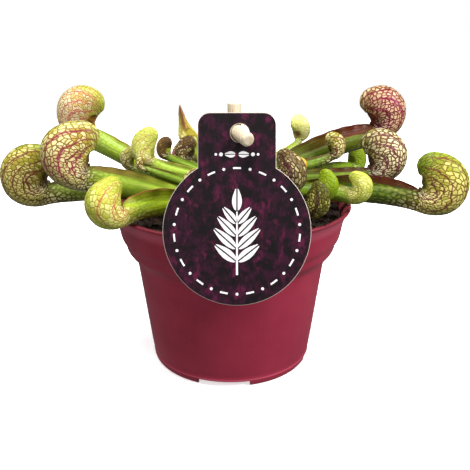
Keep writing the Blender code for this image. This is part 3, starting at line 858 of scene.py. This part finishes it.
def soil():
    finish = peat_material()
    work = bmesh.new()
    loops = []
    for k in range(SOIL_RINGS):
        radius = SOIL_INNER + (SOIL_RADIUS - SOIL_INNER) * k / (SOIL_RINGS - 1)
        loop = []
        for i in range(SOIL_SIDES):
            place = polar(radius, 360 * i / SOIL_SIDES, 0)
            place.z = soil_height(place)
            loop.append(work.verts.new(place))
        loops.append(loop)
    wall = [(r - WALL - GAP, z) for r, z in reversed(POT_OUTSIDE) if FLOOR_TOP < z < SOIL_LEVEL - 2]
    for radius, height in (*wall, (FOOT_INNER, FLOOR_TOP + GAP)):
        loops.append(circle(work, radius, height, SOIL_SIDES))
    skin(work, loops)
    place_piece(piece_of("peat_bed", work, finish), "soil", "soil")
    place_piece(crumbs(finish), "soil")


def crumbs(finish):
    """Crumbs and short fibres of peat, with a few on the pot's lip."""
    chance = random.Random(11)
    work = bmesh.new()
    for _ in range(CRUMBS):
        radius = 9 + (SOIL_RADIUS - 9.6) * math.sqrt(chance.random())
        place = polar(radius, chance.uniform(0, 360), 0)
        size = chance.uniform(0.25, 0.6) * (1.9 if chance.random() < 0.12 else 1)
        place.z = soil_height(place) + 0.25 * size
        made = bmesh.ops.create_icosphere(work, subdivisions=1 if size < 0.7 else 2, radius=size)["verts"]
        stretch = Vector((chance.uniform(0.7, 1.5), chance.uniform(0.6, 1.1), chance.uniform(0.5, 0.9)))
        turn = Matrix.Rotation(chance.uniform(0, math.tau), 3, "Z")
        for vert in made:
            bulge = 1 + 0.35 * noise.noise(vert.co * 1.7 + place * 3)
            vert.co = place + turn @ (vert.co * stretch) * bulge
    for _ in range(LIP_CRUMBS):
        place = polar(POT_OUTSIDE[-1][0] - WALL * chance.uniform(0.3, 0.75), chance.uniform(0, 360), 0)
        size = chance.uniform(0.15, 0.42)
        place.z = POT_HEIGHT + 0.4 * size
        for vert in bmesh.ops.create_icosphere(work, subdivisions=1, radius=size)["verts"]:
            bulge = 1 + 0.35 * noise.noise(vert.co * 2.5 + place * 3)
            vert.co = place + Vector((1.3 * vert.co.x, vert.co.y, 0.7 * vert.co.z)) * bulge
    for _ in range(FIBRES):
        radius = 10 + (SOIL_RADIUS - 14) * math.sqrt(chance.random())
        place = polar(radius, chance.uniform(0, 360), 0)
        fibre(work, place, chance)
    return piece_of("peat_crumbs", work, finish)


def fibre(work, place, chance):
    loops = []
    heading = chance.uniform(0, 360)
    length = chance.uniform(1.5, 5)
    bend = chance.uniform(-40, 40)
    thick = chance.uniform(0.06, 0.14)
    for k in range(7):
        t = k / 6
        here = place + polar(length * t, heading + bend * t, 0)
        here.z = soil_height(here) + 0.2 + 0.5 * math.sin(math.pi * t)
        across = polar(1, heading + bend * t + 90, 0)
        section = [round_point(0, 0, thick, i * math.tau / 5) for i in range(5)]
        loops.append([work.verts.new(here + across * x + Vector((0, 0, y))) for x, y in section])
    skin(work, loops)


def crown():
    g = Graph("rhizome")
    place = g.object_place()
    mottle = g.noise(place, 0.5, 4.0, 0.6)
    colour = g.mix(g.step(mottle, 0.35, 0.65), (70, 62, 28), (104, 116, 44))
    colour = g.mix(g.step(g.noise(place, 0.25, 2.0), 0.55, 0.75), colour, (92, 44, 38))
    finish = g.finish(Base_Color=colour, Roughness=0.55, Normal=g.bump(mottle, 0.0008))
    work = bmesh.new()
    bmesh.ops.create_icosphere(work, subdivisions=5, radius=CROWN_RADIUS)
    for vert in work.verts:
        bulge = 1 + 0.10 * noise.noise(vert.co / 3.0) + 0.03 * noise.noise(vert.co / 0.9)
        vert.co = vert.co * bulge + Vector((0, 0, CROWN_CENTRE))
    place_piece(piece_of("crown_heart", work, finish), "rhizome", "crown")


# Tag
TAG_RADIUS = 22.9
TAG_SIDES = 150
TAG_THICKNESS = 0.8
TAG_CENTRE = (2.2, -44.8, 64.3)
TAG_LEAN = 18.5
TAB_WIDTH = 24.2
TAB_TOP = 36.5
TAB_CORNER = 3.8
TAG_HOLE_RADIUS = 2.9
TAG_HOLE_OFFSET = 0.9
TAG_HOLE_HEIGHT = 30.2
TAG_HOLE_SIDES = 56
TAG_EDGE = 0.16
PRINT_DEPTH = 0.02
PRINT_LIFT = 0.05
PRINT_RING = 19.4

# Stick
STICK_RADIUS = 2.1
STICK_FOOT = (3.0, -34.6, 48.0)
STICK_TOP = (1.3, -29.9, 101.5)
PEG_RADIUS = 2.2
PEG_ROOT = (1.1, -31.0, 93.8)
PEG_END = (5.7, -41.1, 91.6)


def tag_matrix():
    """The tag's own plane: x across, y up along the card, z out of its front."""
    lean = Matrix.Rotation(math.radians(90 - TAG_LEAN), 4, "X")
    return Matrix.Translation(TAG_CENTRE) @ lean


def tag_outline(inset):
    """The card's edge, drawn in by inset, from the tab's right foot clockwise."""
    radius = TAG_RADIUS - inset
    shoulder = math.asin((TAB_WIDTH / 2 - inset) / radius)
    points = []
    for k in range(TAG_SIDES + 1):
        angle = math.pi / 2 - shoulder - k * (2 * math.pi - 2 * shoulder) / TAG_SIDES
        points.append(round_point(0, 0, radius, angle))
    for first, sign in ((180, -1), (90, 1)):
        for k in range(13):
            x, y = sign * (TAB_WIDTH / 2 - TAB_CORNER), TAB_TOP - TAB_CORNER
            points.append(round_point(x, y, TAB_CORNER - inset, math.radians(first - 90 * k / 12)))
    return points


def tag_materials():
    g = Graph("printed card")
    place = g.object_place()
    cloud = g.noise(place, 0.28, 4.0, 0.62)
    fibrous = g.noise(g.scaled(place, (1.0, 1.0, 0.35)), 0.65, 5.0, 0.7)
    blot = g.noise(g.scaled(place, (1.0, 1.0, 0.6)), 0.34, 4.0, 0.6)
    colour = g.mix(g.step(cloud, 0.40, 0.66), (15, 7, 12), (54, 13, 38))
    colour = g.mix(g.step(blot, 0.52, 0.68) * 0.9, colour, (90, 20, 56))
    colour = g.mix(g.step(fibrous, 0.46, 0.62) * 0.75, colour, (12, 5, 9))
    face = g.finish(
        Base_Color=colour,
        Roughness=fibrous * 0.2 + 0.42,
        Specular_IOR_Level=0.2,
        Normal=g.bump(g.noise(place, 3.0, 2.0), 0.00004),
    )
    e = Graph("card edge")
    place = e.object_place()
    fibres = e.noise(place, 2.0, 3.0)
    edge = e.finish(
        Base_Color=e.mix(fibres, (226, 216, 202), (196, 180, 166)),
        Roughness=0.8,
        Normal=e.bump(fibres, 0.00008),
    )
    return face, edge


def tag():
    face_finish, edge_finish = tag_materials()
    work = bmesh.new()
    half = TAG_THICKNESS / 2
    layers = ((TAG_EDGE, -half), (0, -half + TAG_EDGE), (0, half - TAG_EDGE), (TAG_EDGE, half))
    angles = [math.tau * k / TAG_HOLE_SIDES for k in range(TAG_HOLE_SIDES)]
    loops, holes = [], []
    for inset, z in layers:
        loops.append(flat_loop(work, tag_outline(inset), z))
        radius = TAG_HOLE_RADIUS + inset
        hole = [round_point(TAG_HOLE_OFFSET, TAG_HOLE_HEIGHT, radius, angle) for angle in angles]
        holes.append(flat_loop(work, hole, z))
    for group in (loops, holes):
        skin(work, group, closed=False)
    for face in work.faces:
        face.material_index = 1
    for outer, hole in ((loops[0], holes[0]), (loops[-1], holes[-1])):
        pairs = (*zip(outer, outer[1:] + outer[:1]), *zip(hole, hole[1:] + hole[:1]))
        edges = [work.edges.get(pair) for pair in pairs]
        made = bmesh.ops.triangle_fill(work, edges=edges, use_beauty=True)
        for item in made["geom"]:
            if isinstance(item, bmesh.types.BMFace):
                item.material_index = 0
    bmesh.ops.transform(work, matrix=tag_matrix(), verts=work.verts)
    card = piece_of("tag_card", work, face_finish, edge_finish, angle=30)
    place_piece(card, "printed_card", "tag")
    tag_print()


def flat_shape(work, points):
    """A thin raised patch of ink on the card's front, from its outline."""
    front = TAG_THICKNESS / 2
    skin(work, [flat_loop(work, points, front + height) for height in (-PRINT_DEPTH, PRINT_LIFT)])


def disc(work, x, y, radius):
    flat_shape(work, [round_point(x, y, radius, math.tau * k / 20) for k in range(20)])


def arc_bar(work, radius, start, end, thick):
    angles = [math.radians(start + (end - start) * k / 8) for k in range(9)]
    outer = [round_point(0, 0, radius + thick / 2, angle) for angle in angles]
    inner = [round_point(0, 0, radius - thick / 2, angle) for angle in reversed(angles)]
    flat_shape(work, outer + inner)


def blade(work, x, y, heading, length, width, gap):
    """A leaf drawn as two halves with a bare midrib between them."""
    turn = Matrix.Rotation(math.radians(heading), 2)
    for sign in (1, -1):
        points = [(0.04 * length, sign * gap / 2), (0.94 * length, sign * gap / 2)]
        for k in range(11, 0, -1):
            t = k / 12
            points.append((length * t, sign * (gap / 2 + width / 2 * math.sin(math.pi * t**0.8))))
        flat_shape(work, [(x + p.x, y + p.y) for p in (turn @ Vector(q) for q in points)])


def tag_print():
    """A plain sprig in a ring of dots and dashes, and a small row of dots and leaves on the tab."""
    g = Graph("white ink")
    place = g.object_place()
    wear = g.noise(place, 1.2, 3.0)
    finish = g.finish(
        Base_Color=g.mix(g.step(wear, 0.5, 0.8), (248, 246, 246), (224, 218, 222)),
        Roughness=wear * 0.1 + 0.45,
        Normal=g.bump(wear, 0.00003),
    )
    work = bmesh.new()
    for k in range(30):
        centre = -90 + 12 * k
        if k % 2:
            arc_bar(work, PRINT_RING, centre - 3.6, centre + 3.6, 0.55)
        else:
            disc(work, *round_point(0, 0, PRINT_RING, math.radians(centre)), 0.45)
    flat_shape(work, [(-0.32, -13.5), (0.32, -13.5), (0.22, 6.0), (-0.22, 6.0)])
    for k, y in enumerate((-9.5, -5.6, -1.7, 2.2)):
        length = (9.0, 10.0, 9.0, 7.0)[k]
        for heading in (38 + 4 * k, 142 - 4 * k):
            blade(work, 0, y, heading, length, 2.7 - 0.2 * k, 0.45)
    blade(work, 0, 6.0, 90, 7.5, 2.6, 0.45)
    for x, radius in ((-6.5, 0.4), (-4.9, 0.6), (4.9, 0.6), (6.5, 0.4)):
        disc(work, x, 23.6, radius)
    for heading in (0, 180):
        blade(work, 0.35 if heading == 0 else -0.35, 23.6, heading, 3.6, 1.7, 0.25)
    bmesh.ops.transform(work, matrix=tag_matrix(), verts=work.verts)
    place_piece(piece_of("tag_print", work, finish, angle=20), "printed_card")


def wood_material():
    g = Graph("peeled wood")
    place = g.object_place()
    grain = g.noise(g.scaled(place, (1.0, 1.0, 0.06)), 1.6, 4.0, 0.6)
    pores = g.step(g.noise(g.scaled(place, (1.0, 1.0, 0.12)), 4.5, 2.0), 0.62, 0.72)
    colour = g.mix(g.step(grain, 0.35, 0.72), (241, 227, 198), (216, 188, 150))
    return g.finish(
        Base_Color=g.mix(pores * 0.35, colour, (168, 134, 98)),
        Roughness=0.68,
        Normal=g.bump(grain, 0.0002),
    )


def rod(start, end, radius, rounding):
    line = end - start
    length = line.length
    profile = [(0, 0), (radius - 0.2, 0), (radius, 0.2)]
    for k in range(7):
        angle = math.radians(90 * k / 6)
        profile.append(round_point(radius - rounding, length - rounding, rounding, angle))
    profile.append((0, length))
    work = turned(profile, 40)
    turn = line.to_track_quat("Z", "Y").to_matrix().to_4x4()
    bmesh.ops.transform(work, matrix=Matrix.Translation(start) @ turn, verts=work.verts)
    return work


def stick():
    work = rod(Vector(STICK_FOOT), Vector(STICK_TOP), STICK_RADIUS, 0.4)
    peg = rod(Vector(PEG_ROOT), Vector(PEG_END), PEG_RADIUS, 1.1)
    mesh = bpy.data.meshes.new("peg")
    peg.to_mesh(mesh)
    peg.free()
    work.from_mesh(mesh)
    bpy.data.meshes.remove(mesh)
    piece = piece_of("stick_wood", work, wood_material())
    place_piece(piece, "peeled_wood", "wooden_stick")


def studio():
    """A white floor that glows towards its edge, soft lights, a white background and the camera."""
    g = Graph("studio floor")
    place = g.object_place()
    floor_finish = g.finish(
        Base_Color=g.mix(g.noise(place, 0.03, 3.0), (246, 246, 246), (250, 250, 250)),
        Roughness=0.9,
        Emission_Color=(255, 255, 255),
        Emission_Strength=g.step(g.length(place), 30.0, 160.0) * 0.4 + 0.6,
    )
    work = bmesh.new()
    bmesh.ops.create_circle(work, cap_ends=True, segments=96, radius=700.0)
    floor = piece_of("studio_floor", work, floor_finish)
    floor.visible_diffuse = False
    floor.visible_glossy = False
    scene = bpy.context.scene
    # Name, place, target and size in metres, and power
    lights = (
        ("key", (0.75, -0.38, 0.65), (0, 0, 0.07), 0.35, 10.5),
        ("fill", (-0.50, -0.80, 0.55), (0, 0, 0.06), 0.50, 2.2),
        ("top", (-0.12, -0.10, 1.0), (0, 0, 0.05), 0.45, 10.5),
    )
    for name, place, target, size, power in lights:
        lamp = bpy.data.lights.new(name, "AREA")
        lamp.shape = "DISK"
        lamp.size = size
        lamp.energy = power
        light = bpy.data.objects.new(name, lamp)
        light.location = place
        light.rotation_euler = (Vector(place) - Vector(target)).to_track_quat("Z", "Y").to_euler()
        scene.collection.objects.link(light)
    world = bpy.data.worlds.new("studio")
    world.use_nodes = True
    tree = world.node_tree
    seen = tree.nodes.new("ShaderNodeLightPath")
    level = tree.nodes.new("ShaderNodeMapRange")
    level.inputs["To Min"].default_value = 0.25
    level.inputs["To Max"].default_value = 1.0
    background = tree.nodes["Background"]
    background.inputs["Color"].default_value = (1, 1, 1, 1)
    tree.links.new(seen.outputs["Is Camera Ray"], level.inputs["Value"])
    tree.links.new(level.outputs[0], background.inputs["Strength"])
    scene.world = world
    scene.view_settings.view_transform = "Standard"
    lens = bpy.data.cameras.new("camera")
    lens.lens = CAMERA_LENS
    lens.sensor_width = 36
    lens.clip_start = 0.01
    camera = bpy.data.objects.new("camera", lens)
    camera.location = Vector(CAMERA_PLACE) * MM
    camera.rotation_euler = (math.radians(90 - CAMERA_DOWN), 0, 0)
    scene.collection.objects.link(camera)
    scene.camera = camera


pot()
soil()
crown()
for index, one in enumerate(PITCHERS):
    leaf_piece(one, index + 1)
tag()
stick()
studio()
